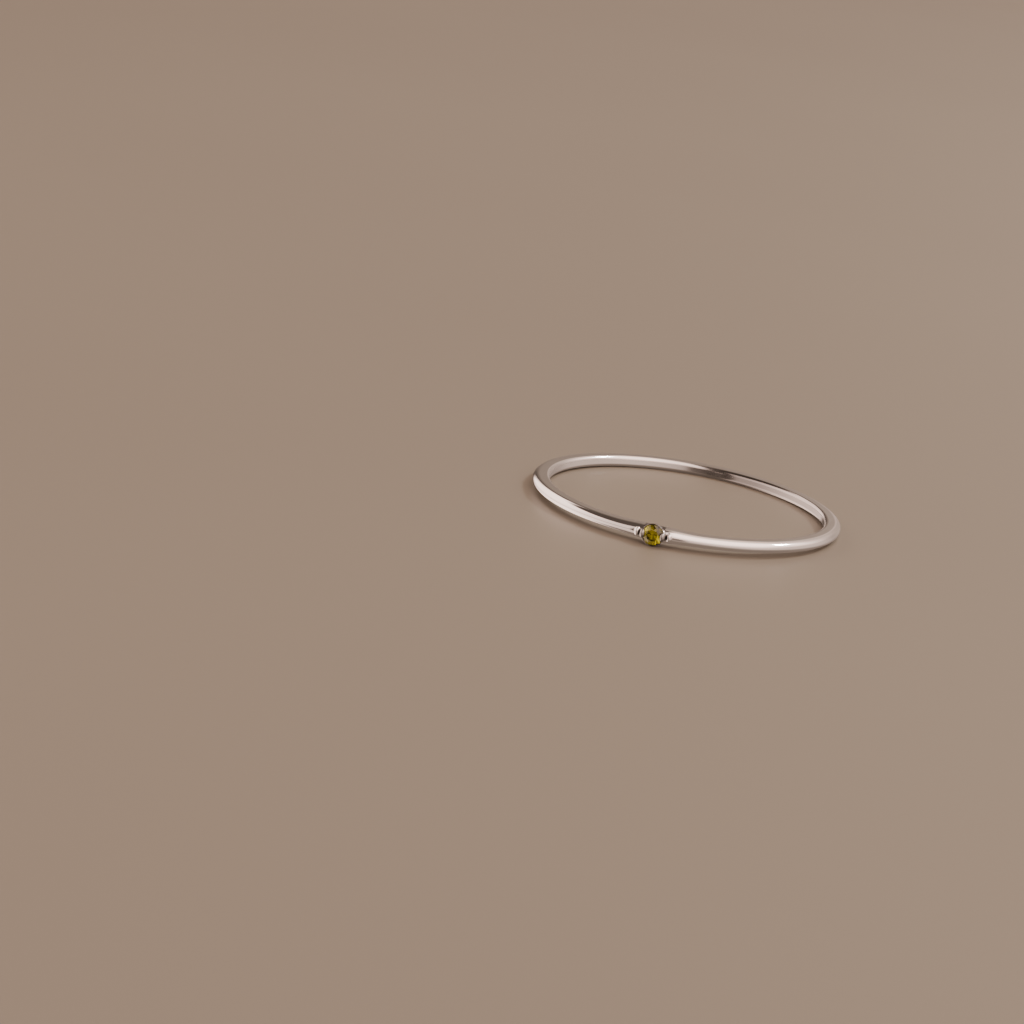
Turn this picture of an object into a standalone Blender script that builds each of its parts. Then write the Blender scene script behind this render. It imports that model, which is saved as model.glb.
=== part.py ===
"""A thin stacking ring in polished silver, with one small round yellow-green stone.

Metres, +Z up. The ring lies on its side as it does on a table: the bottom of the cup that holds the
stone and the back of the band touch the ground, and the stone looks towards -Y. The pieces are modelled
in the ring's own frame, with the finger's axis along Z and the ring's centre at its origin, and an empty
carries that frame to where the ring rests.
"""
import math

import bmesh
import bpy
from mathutils import Matrix, Vector

MM = 0.001

# Band, in its plain stretch
FINGER_DIAMETER = 17.3 * MM
BAND_THICKNESS = 1.05 * MM
BAND_WIDTH = 0.72 * MM
DOME_DEPTH = 0.45 * MM
INNER_ROUNDING = 0.25 * MM
MOST_ROUNDING = 0.9

# Shoulders, where the band widens towards the stone
SHOULDER_WIDTH = 0.92 * MM
SHOULDER_REACH = 1.8 * MM

# Stone, a round brilliant
STONE_DIAMETER = 1.25 * MM
TABLE_DIAMETER = 0.72 * MM
GIRDLE_THICKNESS = 0.05 * MM
CROWN_ANGLE = math.radians(34.0)
PAVILION_ANGLE = math.radians(41.0)
STAR_LENGTH = 0.5
LOWER_HALF_LENGTH = 0.78

# Cup that holds the stone
STONE_CLEARANCE = 0.02 * MM
CUP_WALL = 0.06 * MM
CUP_DEPTH = 0.65 * MM
CUP_TAPER = 0.14 * MM
RIM_RISE = 0.06 * MM
GIRDLE_DROP = 0.05 * MM
BACK_HOLE_DIAMETER = 0.60 * MM

# Claws, one at each side of the stone
CLAW_BEAD_DIAMETER = 0.50 * MM
CLAW_POST_DIAMETER = 0.34 * MM
CLAW_OVERHANG = 0.20 * MM
CLAW_RISE = 0.08 * MM

# Shoulder beads, one past each claw
SHOULDER_BEAD_LENGTH = 0.36 * MM
SHOULDER_BEAD_WIDTH = 0.54 * MM
SHOULDER_BEAD_HEIGHT = 0.42 * MM
SHOULDER_BEAD_OVERLAP = 0.12 * MM
SHOULDER_BEAD_SINK = 0.06 * MM

# Counts of sides
BAND_STEPS = 132
DOME_STEPS = 8
CORNER_STEPS = 2
CUP_SIDES = 40
BEAD_SIDES = 16
MAIN_FACETS = 8

# Finish
SILVER_COLOR = (0.90, 0.87, 0.85)
SILVER_ROUGHNESS = 0.12
STONE_COLOR = (0.52, 0.50, 0.06)
STONE_ROUGHNESS = 0.05
SMOOTH_BELOW = math.radians(35)

# Places along the radius through the stone, measured from the ring's centre
FINGER_RADIUS = FINGER_DIAMETER / 2
CREST_RADIUS = FINGER_RADIUS + BAND_THICKNESS
RIM_RADIUS = CREST_RADIUS + RIM_RISE
GIRDLE_RADIUS = RIM_RADIUS - GIRDLE_DROP
STONE_RADIUS = STONE_DIAMETER / 2
CUP_RIM_RADIUS = STONE_RADIUS + STONE_CLEARANCE + CUP_WALL
CUP_BACK_RADIUS = CUP_RIM_RADIUS - CUP_TAPER
CLAW_RADIUS = GIRDLE_RADIUS + CLAW_RISE
CLAW_OFFSET = STONE_RADIUS - CLAW_OVERHANG + CLAW_BEAD_DIAMETER / 2
SHOULDER_BEAD_OFFSET = CLAW_OFFSET + (CLAW_BEAD_DIAMETER + SHOULDER_BEAD_LENGTH) / 2 - SHOULDER_BEAD_OVERLAP

# How the ring rests: on the cup's rim in front and the edge of the band's flat side at the back
FLAT_OUTER_RADIUS = CREST_RADIUS - DOME_DEPTH
REST_TILT = math.atan((CUP_RIM_RADIUS - BAND_WIDTH / 2) / (RIM_RADIUS + FLAT_OUTER_RADIUS))
REST_LIFT = FLAT_OUTER_RADIUS * math.sin(REST_TILT) + BAND_WIDTH / 2 * math.cos(REST_TILT)
FRONT_REACH = CLAW_RADIUS + CLAW_BEAD_DIAMETER / 2
CENTRE_SHIFT = (FRONT_REACH - CREST_RADIUS) / 2

# The two sides of the stone, along X
SIDES = {"left": -1, "right": 1}

# Turns a shape's own +Z to the ring's -Y, away from the finger
FACING_OUT = Matrix.Rotation(math.pi / 2, 4, "X")


def clear_scene():
    for obj in list(bpy.data.objects):
        bpy.data.objects.remove(obj, do_unlink=True)


def new_collection(name):
    collection = bpy.data.collections.new(name)
    bpy.context.scene.collection.children.link(collection)
    return collection


def new_material(name, color, roughness, metallic):
    material = bpy.data.materials.new(name)
    material.use_nodes = True
    shader = material.node_tree.nodes["Principled BSDF"]
    shader.inputs["Base Color"].default_value = (*color, 1.0)
    shader.inputs["Roughness"].default_value = roughness
    shader.inputs["Metallic"].default_value = metallic
    material.diffuse_color = (*color, 1.0)
    return material


def mesh_object(name, shape, collection, parent):
    """A new object from a bmesh, in the given collection and riding on the given parent."""
    bmesh.ops.recalc_face_normals(shape, faces=shape.faces)
    mesh = bpy.data.meshes.new(name)
    shape.to_mesh(mesh)
    shape.free()
    obj = bpy.data.objects.new(name, mesh)
    obj.parent = parent
    collection.objects.link(obj)
    return obj


def band_section():
    """The band's section as (radius, height) points: a half oval outside, flat sides and eased corners inside."""
    half_width = BAND_WIDTH / 2
    rounding = min(INNER_ROUNDING, MOST_ROUNDING * half_width)
    points = []
    for step in range(DOME_STEPS + 1):
        angle = math.pi * step / DOME_STEPS - math.pi / 2
        points.append((FLAT_OUTER_RADIUS + DOME_DEPTH * math.cos(angle), half_width * math.sin(angle)))
    for side, first_angle in ((1, math.pi / 2), (-1, math.pi)):
        for step in range(CORNER_STEPS + 1):
            angle = first_angle + math.pi / 2 * step / CORNER_STEPS
            radius = FINGER_RADIUS + rounding * (1 + math.cos(angle))
            points.append((radius, side * (half_width - rounding) + rounding * math.sin(angle)))
    return points


def widening(point):
    """How much wider the band is at a point than in its plain stretch: a bell curve of the arc from the stone."""
    arc = math.atan2(abs(point.x), -point.y) * CREST_RADIUS
    return 1 + (SHOULDER_WIDTH / BAND_WIDTH - 1) * math.exp(-((arc / SHOULDER_REACH) ** 2))


def make_band(collection, parent):
    """The band: its section spun round the finger's axis, then widened along that axis at the shoulders."""
    shape = bmesh.new()
    corners = [shape.verts.new((0, -radius, height)) for radius, height in band_section()]
    edges = [shape.edges.new(pair) for pair in zip(corners, corners[1:] + corners[:1])]
    bmesh.ops.spin(
        shape,
        geom=corners + edges,
        axis=(0, 0, 1),
        cent=(0, 0, 0),
        angle=2 * math.pi,
        steps=BAND_STEPS,
        use_merge=True,
    )
    for corner in shape.verts:
        corner.co.z *= widening(corner.co)
    return mesh_object("band_with_setting", shape, collection, parent)


def make_cup(helpers, parent):
    """The cup: a cone that narrows towards the finger, with its rim outermost."""
    shape = bmesh.new()
    place = Matrix.Translation((0, -(RIM_RADIUS - CUP_DEPTH / 2), 0)) @ FACING_OUT
    bmesh.ops.create_cone(
        shape,
        cap_ends=True,
        segments=CUP_SIDES,
        radius1=CUP_BACK_RADIUS,
        radius2=CUP_RIM_RADIUS,
        depth=CUP_DEPTH,
        matrix=place,
    )
    return mesh_object("cup", shape, helpers, parent)


def make_claw_bead(hand, helpers, parent):
    """The round bead of a claw, which reaches over the stone's edge."""
    shape = bmesh.new()
    place = Matrix.Translation((SIDES[hand] * CLAW_OFFSET, -CLAW_RADIUS, 0)) @ FACING_OUT
    bmesh.ops.create_uvsphere(
        shape,
        u_segments=BEAD_SIDES,
        v_segments=BEAD_SIDES // 2,
        radius=CLAW_BEAD_DIAMETER / 2,
        matrix=place,
    )
    return mesh_object(f"claw_bead_{hand}", shape, helpers, parent)


def make_claw_post(hand, helpers, parent):
    """The post of a claw, from the middle of its bead down to the level of the cup's back."""
    shape = bmesh.new()
    length = CLAW_RADIUS - (RIM_RADIUS - CUP_DEPTH)
    place = Matrix.Translation((SIDES[hand] * CLAW_OFFSET, -(CLAW_RADIUS - length / 2), 0)) @ FACING_OUT
    bmesh.ops.create_cone(
        shape,
        cap_ends=True,
        segments=BEAD_SIDES,
        radius1=CLAW_POST_DIAMETER / 2,
        radius2=CLAW_POST_DIAMETER / 2,
        depth=length,
        matrix=place,
    )
    return mesh_object(f"claw_post_{hand}", shape, helpers, parent)


def make_shoulder_bead(hand, helpers, parent):
    """One shoulder bead: an egg across the band, sunk a little into its crest."""
    shape = bmesh.new()
    around = Matrix.Rotation(SIDES[hand] * math.asin(SHOULDER_BEAD_OFFSET / CREST_RADIUS), 4, "Z")
    out = Matrix.Translation((0, -(CREST_RADIUS - SHOULDER_BEAD_SINK), 0))
    size = Matrix.Diagonal((SHOULDER_BEAD_LENGTH / 2, SHOULDER_BEAD_HEIGHT / 2, SHOULDER_BEAD_WIDTH / 2, 1))
    bmesh.ops.create_uvsphere(
        shape,
        u_segments=BEAD_SIDES,
        v_segments=BEAD_SIDES // 2,
        radius=1.0,
        matrix=around @ out @ size @ FACING_OUT,
    )
    return mesh_object(f"shoulder_bead_{hand}", shape, helpers, parent)


def brilliant_points(grow):
    """Corners of a round brilliant about the middle of its girdle, table towards +Z, grown all round by grow."""
    radius = STONE_RADIUS + grow
    half_girdle = GIRDLE_THICKNESS / 2 + grow
    table = TABLE_DIAMETER / 2 + grow * math.tan(CROWN_ANGLE / 2)
    crown = (radius - table) * math.tan(CROWN_ANGLE)
    pavilion = radius * math.tan(PAVILION_ANGLE)
    step = math.pi / MAIN_FACETS
    half = math.cos(step)
    star = table * half + STAR_LENGTH * (radius - table * half)
    lower = (1 - LOWER_HALF_LENGTH) * radius
    star_height = half_girdle + (radius - star * half) * math.tan(CROWN_ANGLE)
    lower_height = -half_girdle - (radius - lower * half) * math.tan(PAVILION_ANGLE)
    corners = [(0, 0, -half_girdle - pavilion)]
    for turn in range(2 * MAIN_FACETS):
        corners.append((radius, turn, half_girdle))
        corners.append((radius, turn, -half_girdle))
    for turn in range(0, 2 * MAIN_FACETS, 2):
        corners.append((table, turn, half_girdle + crown))
        corners.append((star, turn + 1, star_height))
        corners.append((lower, turn + 1, lower_height))
    return [Vector((r * math.cos(turn * step), r * math.sin(turn * step), z)) for r, turn, z in corners]


def brilliant(name, grow, collection, parent):
    """A brilliant in its seat, with flat facets, as the hull of its corners."""
    shape = bmesh.new()
    place = Matrix.Translation((0, -GIRDLE_RADIUS, 0)) @ FACING_OUT
    for point in brilliant_points(grow):
        shape.verts.new(place @ point)
    bmesh.ops.convex_hull(shape, input=shape.verts)
    return mesh_object(name, shape, collection, parent)


def make_back_hole(helpers, parent):
    """The open back: a straight hole from inside the stone's seat into the finger's hollow."""
    shape = bmesh.new()
    top = GIRDLE_RADIUS - GIRDLE_THICKNESS
    bottom = FINGER_RADIUS - BAND_THICKNESS / 2
    place = Matrix.Translation((0, -(top + bottom) / 2, 0)) @ FACING_OUT
    bmesh.ops.create_cone(
        shape,
        cap_ends=True,
        segments=CUP_SIDES,
        radius1=BACK_HOLE_DIAMETER / 2,
        radius2=BACK_HOLE_DIAMETER / 2,
        depth=top - bottom,
        matrix=place,
    )
    return mesh_object("back_hole", shape, helpers, parent)


def combine(target, other, operation):
    modifier = target.modifiers.new(f"{operation.lower()}_{other.name}", "BOOLEAN")
    modifier.operation = operation
    modifier.solver = "EXACT"
    modifier.object = other


def build():
    clear_scene()
    ring = new_collection("birthstone_ring")
    helpers = new_collection("helpers")
    silver = new_material("polished_silver", SILVER_COLOR, SILVER_ROUGHNESS, metallic=1.0)
    gem = new_material("yellow_green_stone", STONE_COLOR, STONE_ROUGHNESS, metallic=0.0)

    rest = bpy.data.objects.new("resting_place", None)
    rest.rotation_euler = (-REST_TILT, 0, 0)
    rest.location = (0, CENTRE_SHIFT, REST_LIFT)
    ring.objects.link(rest)

    band = make_band(ring, rest)
    added = [make_cup(helpers, rest)]
    for hand in SIDES:
        added.append(make_claw_bead(hand, helpers, rest))
        added.append(make_claw_post(hand, helpers, rest))
        added.append(make_shoulder_bead(hand, helpers, rest))
    cut = [brilliant("seat", STONE_CLEARANCE, helpers, rest), make_back_hole(helpers, rest)]
    for piece in added:
        combine(band, piece, "UNION")
    for piece in cut:
        combine(band, piece, "DIFFERENCE")
    for piece in added + cut:
        piece.hide_render = True
        piece.display_type = "WIRE"
    stone = brilliant("stone", 0.0, ring, rest)

    band.data.materials.append(silver)
    stone.data.materials.append(gem)
    band.data.shade_smooth()
    band.data.set_sharp_from_angle(angle=SMOOTH_BELOW)


build()
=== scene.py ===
"""Looks of a thin polished silver stacking ring with one small round yellow-green stone.

Lengths are in millimetres in the ring's own frame, with the finger's axis along Z, the ring's centre at the
origin and the stone towards -Y. in_place() carries finished points to where the ring rests, in metres.
"""

import math

import bpy
import numpy as np
from mathutils import Matrix, Vector


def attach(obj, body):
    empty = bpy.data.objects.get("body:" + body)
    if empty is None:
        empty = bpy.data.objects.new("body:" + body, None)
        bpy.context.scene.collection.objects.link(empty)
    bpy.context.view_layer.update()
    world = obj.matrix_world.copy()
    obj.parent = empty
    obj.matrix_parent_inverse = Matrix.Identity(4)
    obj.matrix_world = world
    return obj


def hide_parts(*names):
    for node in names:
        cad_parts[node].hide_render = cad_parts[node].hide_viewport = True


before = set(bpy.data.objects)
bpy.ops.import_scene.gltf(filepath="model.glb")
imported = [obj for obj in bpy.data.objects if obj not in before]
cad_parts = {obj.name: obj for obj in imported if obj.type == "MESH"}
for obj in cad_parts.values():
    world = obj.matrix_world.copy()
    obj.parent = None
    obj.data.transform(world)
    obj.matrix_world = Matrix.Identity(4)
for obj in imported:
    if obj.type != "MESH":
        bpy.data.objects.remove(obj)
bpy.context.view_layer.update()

MM = 0.001

# Band
FINGER_RADIUS = 8.65
CREST_RADIUS = 9.70
BAND_WIDTH = 0.72
DOME_DEPTH = 0.45
INNER_ROUNDING = 0.25
SHOULDER_WIDTH = 0.92
SHOULDER_REACH = 1.8
FLAT_OUTER_RADIUS = CREST_RADIUS - DOME_DEPTH

# Stone, a round brilliant
STONE_RADIUS = 0.625
TABLE_RADIUS = 0.36
HALF_GIRDLE = 0.025
CROWN_SLOPE = math.tan(math.radians(34.0))
PAVILION_SLOPE = math.tan(math.radians(41.0))
STAR_LENGTH = 0.5
LOWER_HALF_LENGTH = 0.78
MAIN_FACETS = 8
GIRDLE_STEPS = 6

# Setting
RIM_RADIUS = 9.76
GIRDLE_RADIUS = 9.71
CUP_DEPTH = 0.65
CUP_RIM_RADIUS = 0.705
CUP_BACK_RADIUS = 0.565
LIP_GROOVE_RADIUS = 0.655
LIP_GROOVE_FLOOR = 9.69
SEAT_CLEARANCE = 0.02
BACK_HOLE_RADIUS = 0.30
CLAW_OFFSET = 0.61
CLAW_RADIUS = 9.79
CLAW_HALF_SIZES = (0.18, 0.24, 0.28)
CLAW_POST_RADIUS = 0.13
BEAD_OFFSET = 0.985
BEAD_RADIUS = 9.64
BEAD_HALF_SIZES = (0.18, 0.21, 0.27)
HEAD_HALF_LENGTH = 1.9
CUP_BACK_LEVEL = RIM_RADIUS - CUP_DEPTH

# Fillets and eased edges
RIM_EDGE = 0.035
GROOVE_EDGE = 0.015
CUP_FILLET = 0.05
POST_FILLET = 0.04
BEAD_FILLET = 0.025
CLAW_FILLET = 0.02
SEAT_EDGE = 0.012
HOLE_EDGE = 0.03

# Grid that the silver's surface is found on, with a nudge that keeps its lines off the ring's own levels
ARC_EDGES = [0.0, 1.32, HEAD_HALF_LENGTH, 3.4, math.pi * CREST_RADIUS]
ARC_STEPS = [0.0215, 0.06, 0.15, 0.3]
RADIUS_EDGES = [8.56, 9.1, 10.10]
RADIUS_STEPS = [0.045, 0.0225]
HEIGHT_EDGES = [-0.78, 0.78]
HEIGHT_STEPS = [0.0235]
FLAT_NUDGE = 1e-4
HEIGHT_NUDGE = 3e-4
SMOOTHING_ROUNDS = 3

# Places that get painted shade and rougher metal: creases and nooks, the cup's wall, the stone's seat, the
# lip, and low metal near the table
HOLLOW_PROBE = 0.07
NOOK_PROBE = 0.20
HEAD_LEVEL = 8.9
SEAT_LEVEL = 9.72
LIP_LEVEL = 9.75
SEAT_REACH = 0.66
LIP_REACH = 0.80
HEAD_REACH = 1.5
LOW_LEVEL = 0.46
INSIDE_RADIUS = 8.92

# Rest
REST_TILT = math.atan((CUP_RIM_RADIUS - BAND_WIDTH / 2) / (RIM_RADIUS + FLAT_OUTER_RADIUS))
REST_LIFT = FLAT_OUTER_RADIUS * math.sin(REST_TILT) + BAND_WIDTH / 2 * math.cos(REST_TILT)
CENTRE_SHIFT = 0.17
RESTING_PLACE = Matrix.Translation((0, CENTRE_SHIFT, REST_LIFT)) @ Matrix.Rotation(-REST_TILT, 4, "X")


# Shapes

def in_place(points):
    """Ring-frame millimetres to row-frame metres: turned by the rest tilt, moved to its place and scaled."""
    turn = np.array(RESTING_PLACE.to_3x3())
    return (points @ turn.T + np.array(RESTING_PLACE.translation)) * MM


def turned(directions):
    """Ring-frame directions turned to the row frame."""
    return directions @ np.array(RESTING_PLACE.to_3x3()).T


def mesh_piece(name, points, polygons, normals=None, smooth=True):
    """A new object from whole arrays. polygons is one array of corner indices, or a list of such arrays."""
    mesh = bpy.data.meshes.new(name)
    groups = polygons if isinstance(polygons, list) else [polygons]
    sizes = np.concatenate([np.full(len(group), group.shape[1]) for group in groups])
    mesh.vertices.add(len(points))
    mesh.vertices.foreach_set("co", np.asarray(points, np.float32).ravel())
    mesh.loops.add(int(sizes.sum()))
    corners = np.concatenate([group.ravel() for group in groups])
    mesh.loops.foreach_set("vertex_index", corners.astype(np.int32))
    mesh.polygons.add(len(sizes))
    mesh.polygons.foreach_set("loop_start", (np.cumsum(sizes) - sizes).astype(np.int32))
    mesh.update(calc_edges=True)
    mesh.polygons.foreach_set("use_smooth", np.full(len(sizes), smooth))
    if normals is not None:
        mesh.normals_split_custom_set_from_vertices(normals.astype(np.float32))
    mesh.validate()
    obj = bpy.data.objects.new(name, mesh)
    bpy.context.scene.collection.objects.link(obj)
    return obj


def point_values(obj, name, values):
    """Keeps one number for each vertex under a name, for the materials to read."""
    attribute = obj.data.attributes.new(name, "FLOAT", "POINT")
    attribute.data.foreach_set("value", values.astype(np.float32))


def soft_union(a, b, reach):
    """The lower of two fields, with a fillet where they differ by less than reach."""
    overlap = np.maximum(reach - np.abs(a - b), 0)
    return np.minimum(a, b) - overlap**2 / (4 * reach)


def soft_overlap(a, b, reach):
    """The higher of two fields, with the edge between them rounded."""
    return -soft_union(-a, -b, reach)


def ellipsoid_field(offsets, half_sizes):
    """Near distance to an ellipsoid: k0 (k0 - 1) / k1, where k0 and k1 are the lengths of the offset over the
    half sizes and over their squares."""
    once = np.sqrt(sum((offset / size) ** 2 for offset, size in zip(offsets, half_sizes)))
    twice = np.sqrt(sum((offset / size**2) ** 2 for offset, size in zip(offsets, half_sizes)))
    return once * (once - 1) / np.maximum(twice, 1e-6)


def band_field(x, y, z):
    """The band's section at a point's radius and height: a half oval beyond the flat sides, a rounded box
    inside, with the height shared out by a bell curve of the arc from the stone."""
    radius = np.hypot(x, y)
    arc = np.arctan2(np.abs(x), -y) * CREST_RADIUS
    wide = 1 + (SHOULDER_WIDTH / BAND_WIDTH - 1) * np.exp(-((arc / SHOULDER_REACH) ** 2))
    height = np.abs(z) / wide
    half = BAND_WIDTH / 2
    beyond = np.maximum(radius - FLAT_OUTER_RADIUS, 0)
    dome = ellipsoid_field((beyond, height), (DOME_DEPTH, half))
    over = height - (half - INNER_ROUNDING)
    inward = FINGER_RADIUS + INNER_ROUNDING - radius
    corner = np.hypot(np.maximum(over, 0), np.maximum(inward, 0))
    box = corner + np.minimum(np.maximum(over, inward), 0) - INNER_ROUNDING
    return np.where(radius > FLAT_OUTER_RADIUS, dome, box)


def cup_field(x, y, z):
    """A cone round the stone's axis between two levels, with a rounded lip and a groove inside the lip."""
    out, spread = -y, np.hypot(x, z)
    slope = (CUP_RIM_RADIUS - CUP_BACK_RADIUS) / CUP_DEPTH
    wall = (spread - CUP_RIM_RADIUS + slope * (RIM_RADIUS - out)) / math.hypot(1, slope)
    body = soft_overlap(wall, out - RIM_RADIUS, RIM_EDGE)
    body = np.maximum(body, CUP_BACK_LEVEL - out)
    groove = np.maximum(spread - LIP_GROOVE_RADIUS, LIP_GROOVE_FLOOR - out)
    return soft_overlap(body, -groove, GROOVE_EDGE)


def stone_field(x, y, z):
    """How far a point is outside the stone: the largest of its distances to the facets' planes."""
    normals, offsets = stone_planes()
    out, spread = -y - GIRDLE_RADIUS, np.hypot(x, z)
    points = np.stack([x, z, out], -1)
    field = spread - STONE_RADIUS
    for normal, offset in zip(normals, offsets):
        field = np.maximum(field, points @ normal - offset)
    return field


def metal_field(x, y, z):
    """Below zero inside the silver. Band, cup, claw posts and beads flow together with small fillets, then
    the stone's seat and the open back are taken out."""
    field = band_field(x, y, z)
    near = (np.abs(x) < HEAD_HALF_LENGTH) & (y < 0)
    x, y, z = x[near], y[near], z[near]
    side = np.abs(x)
    head = soft_union(field[near], cup_field(x, y, z), CUP_FILLET)
    post = np.maximum(np.hypot(side - CLAW_OFFSET, z) - CLAW_POST_RADIUS, -y - CLAW_RADIUS)
    post = np.maximum(post, CUP_BACK_LEVEL + y)
    head = soft_union(head, post, POST_FILLET)
    turn = math.asin(BEAD_OFFSET / CREST_RADIUS)
    along = side * math.cos(turn) + y * math.sin(turn)
    out = side * math.sin(turn) - y * math.cos(turn)
    bead = ellipsoid_field((along, out - BEAD_RADIUS, z), BEAD_HALF_SIZES)
    head = soft_union(head, bead, BEAD_FILLET)
    claw = ellipsoid_field((side - CLAW_OFFSET, y + CLAW_RADIUS, z), CLAW_HALF_SIZES)
    head = soft_union(head, claw, CLAW_FILLET)
    head = soft_overlap(head, -(stone_field(x, y, z) - SEAT_CLEARANCE), SEAT_EDGE)
    hole = np.maximum(np.hypot(x, z) - BACK_HOLE_RADIUS, -y - GIRDLE_RADIUS)
    head = soft_overlap(head, -hole, HOLE_EDGE)
    field = field.copy()
    field[near] = head
    return field


def gradient(field, points, step=0.002):
    """Slope of a field at points, from its change over one small step each way."""
    slopes = []
    for axis in range(3):
        shift = np.zeros(3)
        shift[axis] = step
        ahead, behind = points + shift, points - shift
        slopes.append((field(*ahead.T) - field(*behind.T)) / (2 * step))
    return np.stack(slopes, -1)


def onto_surface(field, points, rounds=3, most=0.02):
    """Newton's steps along the slope: each moves a point by its field value over the slope's length."""
    for _ in range(rounds):
        slope = gradient(field, points)
        step = field(*points.T) / np.maximum((slope**2).sum(-1), 0.04)
        move = step[:, None] * slope
        length = np.linalg.norm(move, axis=-1, keepdims=True)
        points = points - move * np.minimum(1, most / np.maximum(length, 1e-9))
    return points


def wrapped_mesh(field, arcs, radii, heights):
    """Points and four-cornered faces of the surface where a field is zero, on a grid of arcs round the ring,
    radii and heights. A cell that the surface crosses gets one point, the mean of the crossings on its edges,
    and an edge that it crosses gets one face, through the cells round that edge."""
    turn = arcs[:, None, None] / CREST_RADIUS
    grid = np.stack(np.broadcast_arrays(
        radii[None, :, None] * np.sin(turn), -radii[None, :, None] * np.cos(turn), heights[None, None, :]
    ), -1)
    values = field(*grid.reshape(-1, 3).T).reshape(grid.shape[:3])
    shape = values.shape
    total = np.zeros((values.size, 3))
    count = np.zeros(values.size)
    faces = []
    for axis in range(3):
        ahead = np.roll(values, -1, axis)
        crossed = (values < 0) != (ahead < 0)
        if axis > 0:
            crossed[(slice(None),) * axis + (-1,)] = False
        at = np.stack(np.nonzero(crossed), -1)
        after = at.copy()
        after[:, axis] = (after[:, axis] + 1) % shape[axis]
        here, there = values[tuple(at.T)], values[tuple(after.T)]
        share = (here / (here - there))[:, None]
        place = grid[tuple(at.T)] * (1 - share) + grid[tuple(after.T)] * share
        u, v = (axis + 1) % 3, (axis + 2) % 3
        around = []
        for back_u, back_v in ((0, 0), (1, 0), (1, 1), (0, 1)):
            cell = at.copy()
            cell[:, u] -= back_u
            cell[:, v] -= back_v
            cell[:, 0] %= shape[0]
            around.append(np.ravel_multi_index(cell.T, shape))
        for cell in around:
            for part in range(3):
                total[:, part] += np.bincount(cell, place[:, part], values.size)
            count += np.bincount(cell, minlength=values.size)
        corners = np.stack(around, -1)
        corners[here < 0] = corners[here < 0][:, ::-1]
        faces.append(corners)
    used = count > 0
    index = np.cumsum(used) - 1
    return total[used] / count[used][:, None], index[np.concatenate(faces)]


def neighbour_mean(points, faces):
    """Each point's mean of the points it shares an edge with."""
    starts, ends = faces.ravel(), np.roll(faces, -1, 1).ravel()
    starts, ends = np.concatenate([starts, ends]), np.concatenate([ends, starts])
    count = np.bincount(starts, minlength=len(points))[:, None]
    total = np.stack([np.bincount(starts, points[ends, part], len(points)) for part in range(3)], -1)
    return total / count


def graded(edges, steps):
    """Grid lines between the given edges, each stretch with its own step."""
    stretches = [np.linspace(a, b, max(1, round((b - a) / step)), endpoint=False)
                 for a, b, step in zip(edges, edges[1:], steps)]
    return np.concatenate(stretches + [edges[-1:]])


def ramp(values, start, reach):
    """Zero up to the start, one past the reach beyond it, and a straight line between."""
    return np.clip((values - start) / reach, 0, 1)


def shade_and_dullness(points, normals, placed, facing):
    """How much painted shade, and how much rougher metal, each point gets, 0 to 1: the largest share of six.
    Hollow and nook are one minus the field over the distance, a short and a longer step out, and paint shade
    into creases;
    then come the cup's wall, the stone's seat and the lip, painted shade round the stone, and low metal that
    faces the table, a painted contact shade."""
    hollow = 1 - metal_field(*(points + HOLLOW_PROBE * normals).T) / HOLLOW_PROBE
    nook = 1 - metal_field(*(points + NOOK_PROBE * normals).T) / NOOK_PROBE
    x, y, z = points.T
    spread = np.hypot(x, z)
    forward = ramp(-y, HEAD_LEVEL, 0.2)
    wall = ramp(y, -LIP_LEVEL, 0.01) * ramp(-spread, -LIP_REACH, 0.06) * forward
    wall = wall * ramp(np.abs(z), 0.30, 0.12)
    seat = ramp(-spread, -SEAT_REACH, 0.02) * forward * (y > -SEAT_LEVEL)
    lip = (spread < LIP_REACH) & (y < -SEAT_LEVEL)
    head = ramp(-spread, -HEAD_REACH, 0.5) * (y < 0)
    # Painted contact shade on low metal that faces the table.
    low = ramp(-placed[:, 2], -LOW_LEVEL, 0.36) * np.clip(0.3 + 0.3 * head - facing[:, 2], 0, 1)
    low = low * (0.75 + 0.25 * head) * np.where(np.hypot(x, y) < INSIDE_RADIUS, 0.5, 1)
    shares = [hollow, 0.9 * nook, 0.75 * wall, 0.9 * seat, 0.56 * lip, low]
    return np.clip(np.max(shares, 0), 0, 1)


def ring_metal():
    """The silver: one closed surface through the zero level of metal_field, drawn finely at the head."""
    half = graded(ARC_EDGES, ARC_STEPS)
    arcs = np.concatenate([-half[:0:-1], half[:-1]])
    radii = graded(RADIUS_EDGES, RADIUS_STEPS)
    heights = graded(HEIGHT_EDGES, HEIGHT_STEPS)
    points, faces = wrapped_mesh(metal_field, arcs + FLAT_NUDGE, radii + FLAT_NUDGE, heights + HEIGHT_NUDGE)
    points = onto_surface(metal_field, points)
    for _ in range(SMOOTHING_ROUNDS):
        points = onto_surface(metal_field, 0.5 * points + 0.5 * neighbour_mean(points, faces), rounds=2)
    normals = gradient(metal_field, points)
    normals /= np.linalg.norm(normals, axis=-1, keepdims=True)
    placed, facing = in_place(points) / MM, turned(normals)
    obj = mesh_piece("ring_silver", placed * MM, faces, facing)
    # Each vertex keeps its share of painted shade, which darkens the silver's colour in creases, round the
    # stone and near the table.
    point_values(obj, "hollow", shade_and_dullness(points, normals, placed, facing))
    return obj


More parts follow.
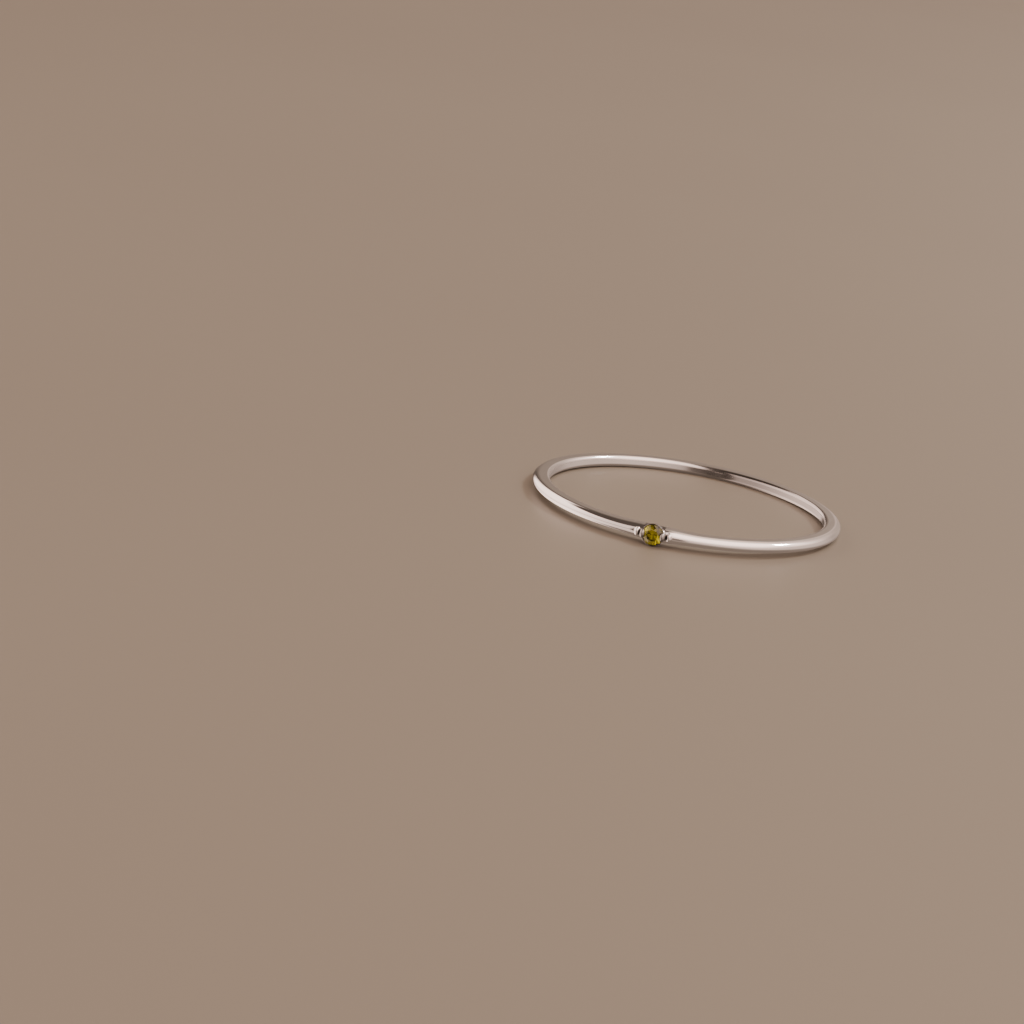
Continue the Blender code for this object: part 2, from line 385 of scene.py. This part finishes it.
def stone_corners():
    """Radius and height of each ring of the brilliant's corners: table, star, lower half and culet, from the
    slopes of crown and pavilion."""
    half = math.cos(math.pi / MAIN_FACETS)
    star = TABLE_RADIUS * half + STAR_LENGTH * (STONE_RADIUS - TABLE_RADIUS * half)
    lower = (1 - LOWER_HALF_LENGTH) * STONE_RADIUS
    return {
        "table": (TABLE_RADIUS, HALF_GIRDLE + (STONE_RADIUS - TABLE_RADIUS) * CROWN_SLOPE),
        "star": (star, HALF_GIRDLE + (STONE_RADIUS - star * half) * CROWN_SLOPE),
        "lower": (lower, -HALF_GIRDLE - (STONE_RADIUS - lower * half) * PAVILION_SLOPE),
        "culet": (0.0, -HALF_GIRDLE - STONE_RADIUS * PAVILION_SLOPE),
    }


def round_stone(radius, turns, height):
    """Points on a circle at the given sixteenths of a turn, as rows of (x, z, out)."""
    angle = np.asarray(turns, float) * math.pi / MAIN_FACETS
    out = np.broadcast_to(height, angle.shape)
    return np.stack([radius * np.cos(angle), radius * np.sin(angle), out], -1)


def stone_planes():
    """Outward normals and offsets of the table, crown and pavilion facets, each through three corners."""
    corner = stone_corners()
    mains = np.arange(0, 2 * MAIN_FACETS, 2)
    table = round_stone(TABLE_RADIUS, mains, corner["table"][1])
    table_next = round_stone(TABLE_RADIUS, mains + 2, corner["table"][1])
    star = round_stone(corner["star"][0], mains + 1, corner["star"][1])
    lower = round_stone(corner["lower"][0], mains + 1, corner["lower"][1])
    culet = round_stone(0.0, mains, corner["culet"][1])
    triples = [(table, table_next, star)]
    for level, inner in ((HALF_GIRDLE, star), (-HALF_GIRDLE, lower)):
        main = round_stone(STONE_RADIUS, mains, level)
        middle = round_stone(STONE_RADIUS, mains + 1, level)
        main_next = round_stone(STONE_RADIUS, mains + 2, level)
        triples += [(inner, main, middle), (inner, middle, main_next)]
    triples += [(table, star, round_stone(STONE_RADIUS, mains, HALF_GIRDLE)),
                (culet, lower, round_stone(STONE_RADIUS, mains, -HALF_GIRDLE))]
    normals, offsets = [np.array([[0.0, 0.0, 1.0]])], [np.array([corner["table"][1]])]
    for a, b, c in triples:
        normal = np.cross(b - a, c - a)
        normal /= np.linalg.norm(normal, axis=-1, keepdims=True)
        offset = (normal * a).sum(-1)
        flip = np.where(offset < 0, -1.0, 1.0)
        normals.append(normal * flip[:, None])
        offsets.append(offset * flip)
    return np.concatenate(normals), np.concatenate(offsets)


def cut_stone():
    """The stone: a table, eight stars, eight kites, sixteen upper halves, a girdle, sixteen lower halves and
    eight pavilion mains, with the halves' planes carried out to the girdle's cylinder."""
    corner = stone_corners()
    normals, offsets = stone_planes()
    count = 2 * MAIN_FACETS * GIRDLE_STEPS
    turns = np.arange(count) / GIRDLE_STEPS
    rim = round_stone(STONE_RADIUS, turns, 0.0)
    flat = rim @ normals.T
    rise = np.where(np.abs(normals[:, 2]) > 1e-6, (offsets - flat) / normals[:, 2], np.inf)
    upper = rim + [0, 0, 1] * np.min(np.where(normals[:, 2] > 0, rise, np.inf), 1)[:, None]
    lower = rim + [0, 0, 1] * np.max(np.where(normals[:, 2] < 0, rise, -np.inf), 1)[:, None]
    mains = np.arange(0, 2 * MAIN_FACETS, 2)
    rings = [upper, lower, round_stone(TABLE_RADIUS, mains, corner["table"][1]),
             round_stone(corner["star"][0], mains + 1, corner["star"][1]),
             round_stone(corner["lower"][0], mains + 1, corner["lower"][1]),
             round_stone(0.0, [0.0], corner["culet"][1])]
    starts = np.cumsum([0] + [len(ring) for ring in rings])
    top, bottom, table, star, low, culet = starts[:6]
    eight = np.arange(MAIN_FACETS)
    ahead, behind = (eight + 1) % MAIN_FACETS, (eight - 1) % MAIN_FACETS
    main = 2 * GIRDLE_STEPS * eight
    span = np.arange(GIRDLE_STEPS + 1)
    first = (main[:, None] + span) % count
    second = (main[:, None] + GIRDLE_STEPS + span) % count
    loop = np.arange(count)
    step = (loop + 1) % count
    polygons = [
        table + eight[None],
        np.stack([table + eight, star + eight, table + ahead], -1),
        np.stack([table + eight, star + behind, top + main, star + eight], -1),
        np.concatenate([star + eight[:, None], top + first], 1),
        np.concatenate([star + eight[:, None], top + second], 1),
        np.stack([top + loop, bottom + loop, bottom + step, top + step], -1),
        np.concatenate([low + eight[:, None], bottom + first[:, ::-1]], 1),
        np.concatenate([low + eight[:, None], bottom + second[:, ::-1]], 1),
        np.stack([culet + 0 * eight, low + eight, bottom + main, low + behind], -1),
    ]
    x, z, out = np.concatenate(rings).T
    points = np.stack([x, -(GIRDLE_RADIUS + out), z], -1)
    return mesh_piece("cut_stone", in_place(points), polygons, smooth=False)


# Materials

class Amount:
    """A node's output that plain arithmetic works on: each sign adds the Math node it stands for."""

    def __init__(self, nodes, socket):
        self.nodes, self.socket = nodes, socket

    def math(self, operation, *others):
        sockets = dict(enumerate((self,) + others))
        return self.nodes.node("ShaderNodeMath", {"operation": operation}, sockets)

    def turned_round(self, operation, other):
        return self.nodes.node("ShaderNodeMath", {"operation": operation}, {0: other, 1: self})

    def __add__(self, other):
        return self.math("ADD", other)

    def __mul__(self, other):
        return self.math("MULTIPLY", other)

    def __sub__(self, other):
        return self.math("SUBTRACT", other)

    def __rsub__(self, other):
        return self.turned_round("SUBTRACT", other)

    def __pow__(self, other):
        return self.math("POWER", other)

    __radd__, __rmul__ = __add__, __mul__


class Nodes:
    """A node tree that hands back what its nodes give as Amounts."""

    def __init__(self, tree):
        self.tree = tree

    def fill(self, node, sockets):
        """Sets a node's sockets: a link for an Amount, else the value itself."""
        for name, value in sockets.items():
            if isinstance(value, Amount):
                self.tree.links.new(value.socket, node.inputs[name])
            elif value is not None:
                node.inputs[name].default_value = value

    def node(self, kind, settings=None, sockets=None, output=0):
        """Adds a node of a kind, with its settings first and then its sockets, and hands back one output."""
        node = self.tree.nodes.new(kind)
        for name, value in (settings or {}).items():
            if name == "stops":
                ramp = node.color_ramp.elements
                while len(ramp) < len(value):
                    ramp.new(0.5)
                for element, (place, color) in zip(ramp, value):
                    element.position, element.color = place, color
            else:
                setattr(node, name, value)
        self.fill(node, sockets or {})
        return Amount(self, node.outputs[output])

    def range(self, value, low, high, to_low=0.0, to_high=1.0):
        """A value between low and high carried smoothly to the range from to_low to to_high."""
        return self.node("ShaderNodeMapRange", {"interpolation_type": "SMOOTHSTEP"},
                         {0: value, 1: low, 2: high, 3: to_low, 4: to_high})

    def between(self, value, low, high, soft_low, soft_high):
        """One inside the range from low to high and zero outside, each end softened over its own width."""
        rise = self.range(value, low - soft_low / 2, low + soft_low / 2)
        fall = self.range(value, high - soft_high / 2, high + soft_high / 2, 1.0, 0.0)
        return rise * fall

    def blend(self, share, first, second):
        """Two colours mixed by a share."""
        return self.node("ShaderNodeMix", {"data_type": "RGBA"}, {0: share, 6: first, 7: second}, output=2)


class Finish(Nodes):
    """One material and its main shader."""

    def __init__(self, name):
        self.material = bpy.data.materials.new(name)
        self.material.use_nodes = True
        super().__init__(self.material.node_tree)
        self.shader = self.tree.nodes["Principled BSDF"]


def color(red, green, blue):
    return (red, green, blue, 1.0)


def ring_axes(finish):
    """A point's place in the ring's own frame, in millimetres: its two flat coordinates, its height along the
    finger and its radius."""
    place = finish.node("ShaderNodeTexCoord", output="Object")
    local = finish.node("ShaderNodeMapping", {"vector_type": "TEXTURE"}, {
        "Vector": place,
        "Location": Vector((0, CENTRE_SHIFT, REST_LIFT)) * MM,
        "Rotation": (-REST_TILT, 0, 0),
        "Scale": (MM, MM, MM),
    })
    split = finish.node("ShaderNodeSeparateXYZ", sockets={0: local})
    x, y, z = (Amount(finish, output) for output in split.socket.node.outputs)
    return local, x, y, z, (x * x + y * y) ** 0.5


def polished_silver():
    """Hand-polished silver: hairlines that run round the ring, a soft unevenness left by the buff, sparse
    nicks, rougher metal in the creases and a satin inside. The colour holds painted shade: darker in creases,
    in the cup, at the seat and lip and low near the table, and darker on the inside, most from the middle
    towards +X."""
    finish = Finish("polished_silver_metal")
    local, x, y, z, radius = ring_axes(finish)
    flow = finish.node("ShaderNodeCombineXYZ", sockets={0: radius * 26.0, 1: z * 26.0, 2: x * 0.9})
    hairlines = finish.node("ShaderNodeTexNoise", {"noise_dimensions": "4D"}, {
        "Vector": flow, "W": y * 0.9, "Scale": 1.0, "Detail": 3.0, "Roughness": 0.65})
    buffing = finish.node("ShaderNodeTexNoise", {"noise_dimensions": "4D"}, {
        "Vector": finish.node("ShaderNodeCombineXYZ", sockets={0: radius * 2.2, 1: z * 2.2, 2: x * 0.55}),
        "W": y * 0.55, "Scale": 1.0, "Detail": 2.0, "Roughness": 0.5})
    grain = finish.node("ShaderNodeTexNoise", sockets={
        "Vector": local, "Scale": 19.0, "Detail": 2.0, "Roughness": 0.6})
    nicks = finish.node("ShaderNodeTexVoronoi", {"feature": "F1"}, {
        "Vector": local, "Scale": 3.1, "Randomness": 1.0})
    # Painted shade from the vertex attribute: it darkens the colour and also makes the metal rougher.
    hollow = finish.node("ShaderNodeAttribute", {"attribute_name": "hollow"}, output="Fac")
    shade_and_dull = finish.range(hollow, 0.18, 0.75)
    nick = finish.range(nicks, 0.03, 0.075, 1.0, 0.0)
    scratch = finish.range(hairlines, 0.58, 0.72)
    clean = finish.blend(finish.range(buffing, 0.35, 0.65),
                         color(0.915, 0.885, 0.862), color(0.945, 0.92, 0.90))
    inside = finish.range(radius, 8.74, 8.92, 1.0, 0.0)
    # Painted shade on the inside: the colour darkens from x = -5.5 to x = 0.5 mm and stays dark beyond.
    painted_inside_shade = finish.blend(finish.range(x, -5.5, 0.5), color(0.86, 0.83, 0.81), color(0.47, 0.445, 0.43))
    clean_and_inside_shade = finish.blend(inside, clean, painted_inside_shade)
    finish.fill(finish.shader, {
        # Painted shade: the near-black colour mixed in where the shade attribute is high.
        "Base Color": finish.blend(shade_and_dull * 0.92, clean_and_inside_shade, color(0.06, 0.048, 0.038)),
        "Metallic": 1.0,
        "Roughness": (0.07 + scratch * 0.05 + nick * 0.12 + shade_and_dull * 0.20 + inside * 0.07
                      + finish.range(buffing, 0.3, 0.7) * 0.035),
    })
    height = (hairlines - 0.5) * 0.0006 + (buffing - 0.5) * 0.006 + (grain - 0.5) * 0.00035 - nick * 0.002
    bump = finish.node("ShaderNodeBump", sockets={"Strength": 1.0, "Distance": MM, "Height": height})
    finish.fill(finish.shader, {"Normal": bump})
    return finish.material


def yellow_green_stone():
    """Clear cut stone: olive with lemon zones, a little cloudier in faint veils, with a wet polish."""
    finish = Finish("yellow_green_gem")
    local = ring_axes(finish)[0]
    zones = finish.node("ShaderNodeTexNoise", sockets={
        "Vector": local, "Scale": 1.9, "Detail": 2.0, "Roughness": 0.55, "Distortion": 0.6})
    veils = finish.node("ShaderNodeTexNoise", sockets={
        "Vector": local, "Scale": 8.5, "Detail": 3.0, "Roughness": 0.6, "Distortion": 1.2})
    body = finish.blend(finish.range(zones, 0.35, 0.65), color(0.36, 0.34, 0.0025), color(0.62, 0.60, 0.007))
    veil = finish.range(veils, 0.50, 0.62)
    finish.fill(finish.shader, {
        "Base Color": finish.blend(veil * 0.7, body, color(0.13, 0.11, 0.002)),
        "Roughness": veil * 0.04,
        "IOR": 1.66,
        "Transmission Weight": 1.0,
    })
    return finish.material


def studio_floor():
    """Smooth taupe tabletop under a thin clear gloss."""
    finish = Finish("taupe_tabletop")
    place = finish.node("ShaderNodeTexCoord", output="Object")
    cloud = finish.node("ShaderNodeTexNoise", sockets={
        "Vector": place, "Scale": 9.0, "Detail": 2.0, "Roughness": 0.5})
    finish.fill(finish.shader, {
        "Base Color": finish.blend(finish.range(cloud, 0.3, 0.7), color(0.211, 0.185, 0.147),
                                   color(0.219, 0.193, 0.153)),
        "Roughness": 0.42,
        "IOR": 1.3,
    })
    return finish.material


# Studio

FLOOR_FLAT = 0.34
FLOOR_REACH = 0.62
FLOOR_RISE = 0.20
FLOOR_SIDES = 128


def tabletop():
    """The floor: a round sheet, flat in the middle, whose rim sweeps up by a quarter of a cosine wave."""
    flat = np.linspace(0.0, FLOOR_FLAT, 12)[1:]
    sweep = np.linspace(FLOOR_FLAT, FLOOR_REACH, 25)[1:]
    radius = np.concatenate([flat, sweep])
    share = np.clip((radius - FLOOR_FLAT) / (FLOOR_REACH - FLOOR_FLAT), 0, 1)
    level = FLOOR_RISE * (1 - np.cos(share * math.pi / 2))
    side = np.arange(FLOOR_SIDES)
    turn = side * 2 * math.pi / FLOOR_SIDES
    points = np.stack([np.outer(radius, np.cos(turn)), np.outer(radius, np.sin(turn)),
                       np.repeat(level[:, None], FLOOR_SIDES, 1)], -1).reshape(-1, 3)
    points = np.concatenate([points, [[0, 0, 0]]])
    after = (side + 1) % FLOOR_SIDES
    inner = np.arange(len(radius) - 1)[:, None] * FLOOR_SIDES
    outer = inner + FLOOR_SIDES
    quads = np.stack([inner + side, outer + side, outer + after, inner + after], -1)
    middle = np.stack([np.full(FLOOR_SIDES, len(points) - 1), side, after], -1)
    return mesh_piece("studio_floor", points, [quads.reshape(-1, 4), middle])


def direction(azimuth, elevation):
    """A unit vector: azimuth 0 is towards the stone's side, -Y, and 90 is +X; elevation is from the floor."""
    a, e = math.radians(azimuth), math.radians(elevation)
    return Vector((math.sin(a) * math.cos(e), -math.cos(a) * math.cos(e), math.sin(e)))


def panel_light(name, azimuth, elevation, distance, width, height, radiance):
    """A flat lamp that faces the ring. Its power is radiance times area times pi."""
    lamp = bpy.data.lights.new(name, "AREA")
    lamp.shape = "RECTANGLE"
    lamp.size, lamp.size_y = width, height
    lamp.energy = radiance * width * height * math.pi
    obj = bpy.data.objects.new(name, lamp)
    toward = direction(azimuth, elevation)
    obj.location = toward * distance
    obj.rotation_euler = toward.to_track_quat("Z", "Y").to_euler()
    bpy.context.scene.collection.objects.link(obj)
    return obj


def studio_air():
    """The light from all round, by azimuth and elevation in degrees: a tall white screen on the left with
    crisp edges, brighter at its far side; a white ceiling over the right that fades down to the table and
    round the back; a dim taupe room; and the dark low in front, with one narrow gap of light."""
    world = bpy.data.worlds.new("studio_air")
    bpy.context.scene.world = world
    world.use_nodes = True
    air = Nodes(world.node_tree)
    view = air.node("ShaderNodeTexCoord", output="Generated")
    split = air.node("ShaderNodeSeparateXYZ", sockets={0: view})
    x, y, z = (Amount(air, output) for output in split.socket.node.outputs)
    azimuth = x.math("ARCTAN2", y * -1.0) * math.degrees(1)
    elevation = z.math("ARCSINE") * math.degrees(1)
    taupe = (1.0, 0.75, 0.60)
    warm_white = (1.0, 0.75, 0.65)

    screen = air.between(azimuth, -146, -26, 12, 4) * air.between(elevation, -56, 43, 16, 8)
    screen = screen * air.range(azimuth, -98, -36, 2.75, 1.15)
    screen = screen * (1 - air.between(elevation, -20, -4, 14, 14) * 0.42)
    screen = screen * (1 - air.range(elevation, -38, -24, 1.0, 0.0) * air.range(azimuth, -115, -80) * 0.3)
    sunk = elevation - air.range(azimuth, 60, 100) * 10
    ceiling = air.range(sunk, -65, 5) * 0.5 + air.range(sunk, -10, 48) * 2.6
    ceiling = ceiling + air.between(elevation, -25, 8, 12, 20) * 0.4
    over_right = air.range(azimuth, -8, 4) * air.range(azimuth, 120, 175, 1.0, 0.3)
    ceiling = ceiling * (over_right + air.range(azimuth, -180, -170, 0.3, 0.0))
    behind = air.range(azimuth.math("ABSOLUTE"), 150, 168)
    back = behind * (air.between(elevation, -12, 32, 20, 25) * 0.24 + air.range(elevation, 25, 60) * 0.4)
    room = 0.09 + back + air.range(elevation, -40, 0, 0.15, 0.0)
    dark = air.between(azimuth, -26.5, 14, 2, 9) * air.between(elevation, -30, 2, 10, 8)
    slit = air.between(azimuth, -14.5, -9, 2, 2) * air.between(elevation, -9.5, 8, 2, 4) * 1.3
    white = (screen + ceiling) * (1 - dark * 0.87) + dark * slit
    white_part = air.node("ShaderNodeVectorMath", {"operation": "SCALE"}, {0: warm_white, "Scale": white})
    room_part = air.node("ShaderNodeVectorMath", {"operation": "SCALE"}, {0: taupe, "Scale": room})
    total = air.node("ShaderNodeVectorMath", {"operation": "ADD"}, {0: white_part, 1: room_part})
    air.fill(world.node_tree.nodes["Background"], {"Color": total, "Strength": 1.0})


CAMERA_AZIMUTH = 12.75
CAMERA_ELEVATION = 14.75
CAMERA_ROLL = 9.4
CAMERA_DISTANCE = 199.3
FOCAL_PIXELS = 3200.0
IMAGE_SIDE = 1024
CENTRE_PIXEL = (686.5, 501.3)


def photo_camera():
    """The camera, in the ring's frame: it looks along the given azimuth, elevation and roll, and stands where
    the ring's centre falls on its pixel at its distance."""
    back = direction(CAMERA_AZIMUTH, CAMERA_ELEVATION)
    level = Vector((math.cos(math.radians(CAMERA_AZIMUTH)), math.sin(math.radians(CAMERA_AZIMUTH)), 0))
    upright = back.cross(level)
    roll = math.radians(CAMERA_ROLL)
    right = level * math.cos(roll) + upright * math.sin(roll)
    up = upright * math.cos(roll) - level * math.sin(roll)
    across = (CENTRE_PIXEL[0] - IMAGE_SIDE / 2) / FOCAL_PIXELS * CAMERA_DISTANCE
    above = (IMAGE_SIDE / 2 - CENTRE_PIXEL[1]) / FOCAL_PIXELS * CAMERA_DISTANCE
    place = back * CAMERA_DISTANCE - right * across - up * above
    data = bpy.data.cameras.new("photo_camera")
    data.sensor_width = 36.0
    data.lens = data.sensor_width * FOCAL_PIXELS / IMAGE_SIDE
    data.clip_start, data.clip_end = 0.005, 10.0
    obj = bpy.data.objects.new("photo_camera", data)
    turn = Matrix((right, up, back)).transposed().to_4x4()
    world = RESTING_PLACE @ Matrix.Translation(place) @ turn
    world.translation *= MM
    obj.matrix_world = world
    bpy.context.scene.collection.objects.link(obj)
    bpy.context.scene.camera = obj


# The ring
silver = ring_metal()
silver.data.materials.append(polished_silver())
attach(silver, "root")
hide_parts("band_with_setting")

stone = cut_stone()
stone.data.materials.append(yellow_green_stone())
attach(stone, "root")
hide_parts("stone")

# The studio
floor = tabletop()
floor.data.materials.append(studio_floor())
floor.visible_glossy = False
panel_light("bare_flash", 126, 49, 0.50, 0.07, 0.05, 90.0)
studio_air()
photo_camera()
